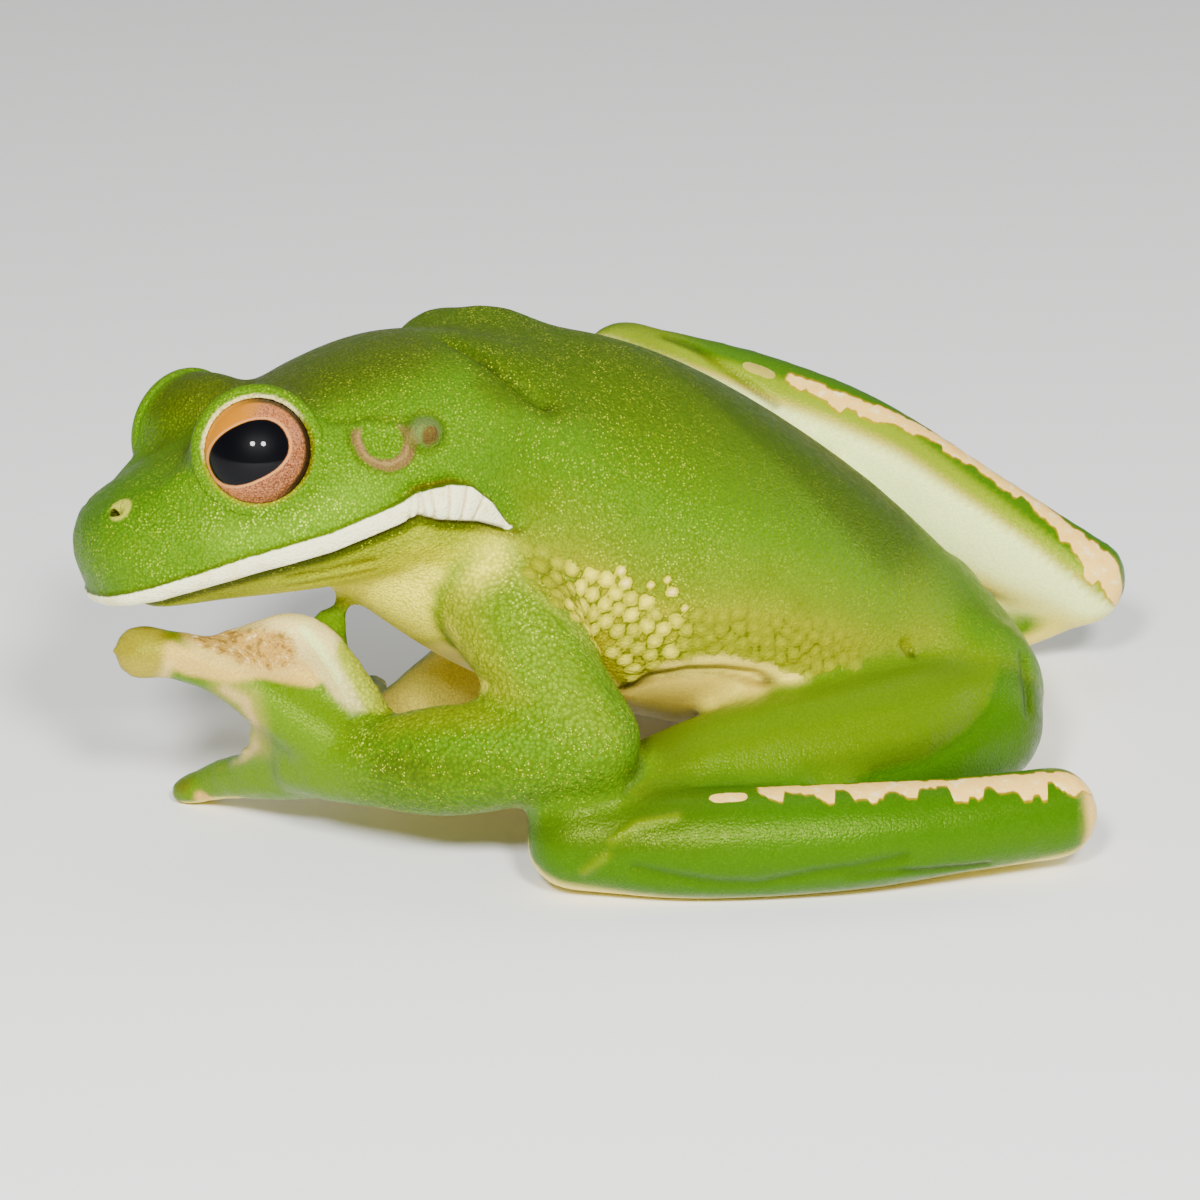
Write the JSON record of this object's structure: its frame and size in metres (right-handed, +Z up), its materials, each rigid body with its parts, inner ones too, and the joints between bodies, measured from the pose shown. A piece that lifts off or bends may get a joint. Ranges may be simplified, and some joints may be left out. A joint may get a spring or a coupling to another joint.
{
  "type": "white-lipped tree frog",
  "caption": "Still, life-size white-lipped tree frog crouching with its head raised, near hand open and far knee high.",
  "frame": {"origin": "middle of the frog's bounding box, on the floor that it rests on", "axes": "the head points to -X, the frog's left side is -Y and +Z is up"},
  "size_m": [0.1168, 0.0876, 0.0509],
  "materials": {
    "skin": "moist, finely grained skin",
    "eye": "wet and glossy"
  },
  "bodies": {
    "root": {"head": "skin", "torso": "skin", "eye_left": "eye", "eye_right": "eye", "upper_arm_left": "skin", "upper_arm_right": "skin", "forearm_left": "skin", "forearm_right": "skin", "hand_left": "skin", "hand_right": "skin", "thigh_left": "skin", "thigh_right": "skin", "shank_left": "skin", "shank_right": "skin", "foot_left": "skin", "foot_right": "skin"}
  },
  "joints": []
}
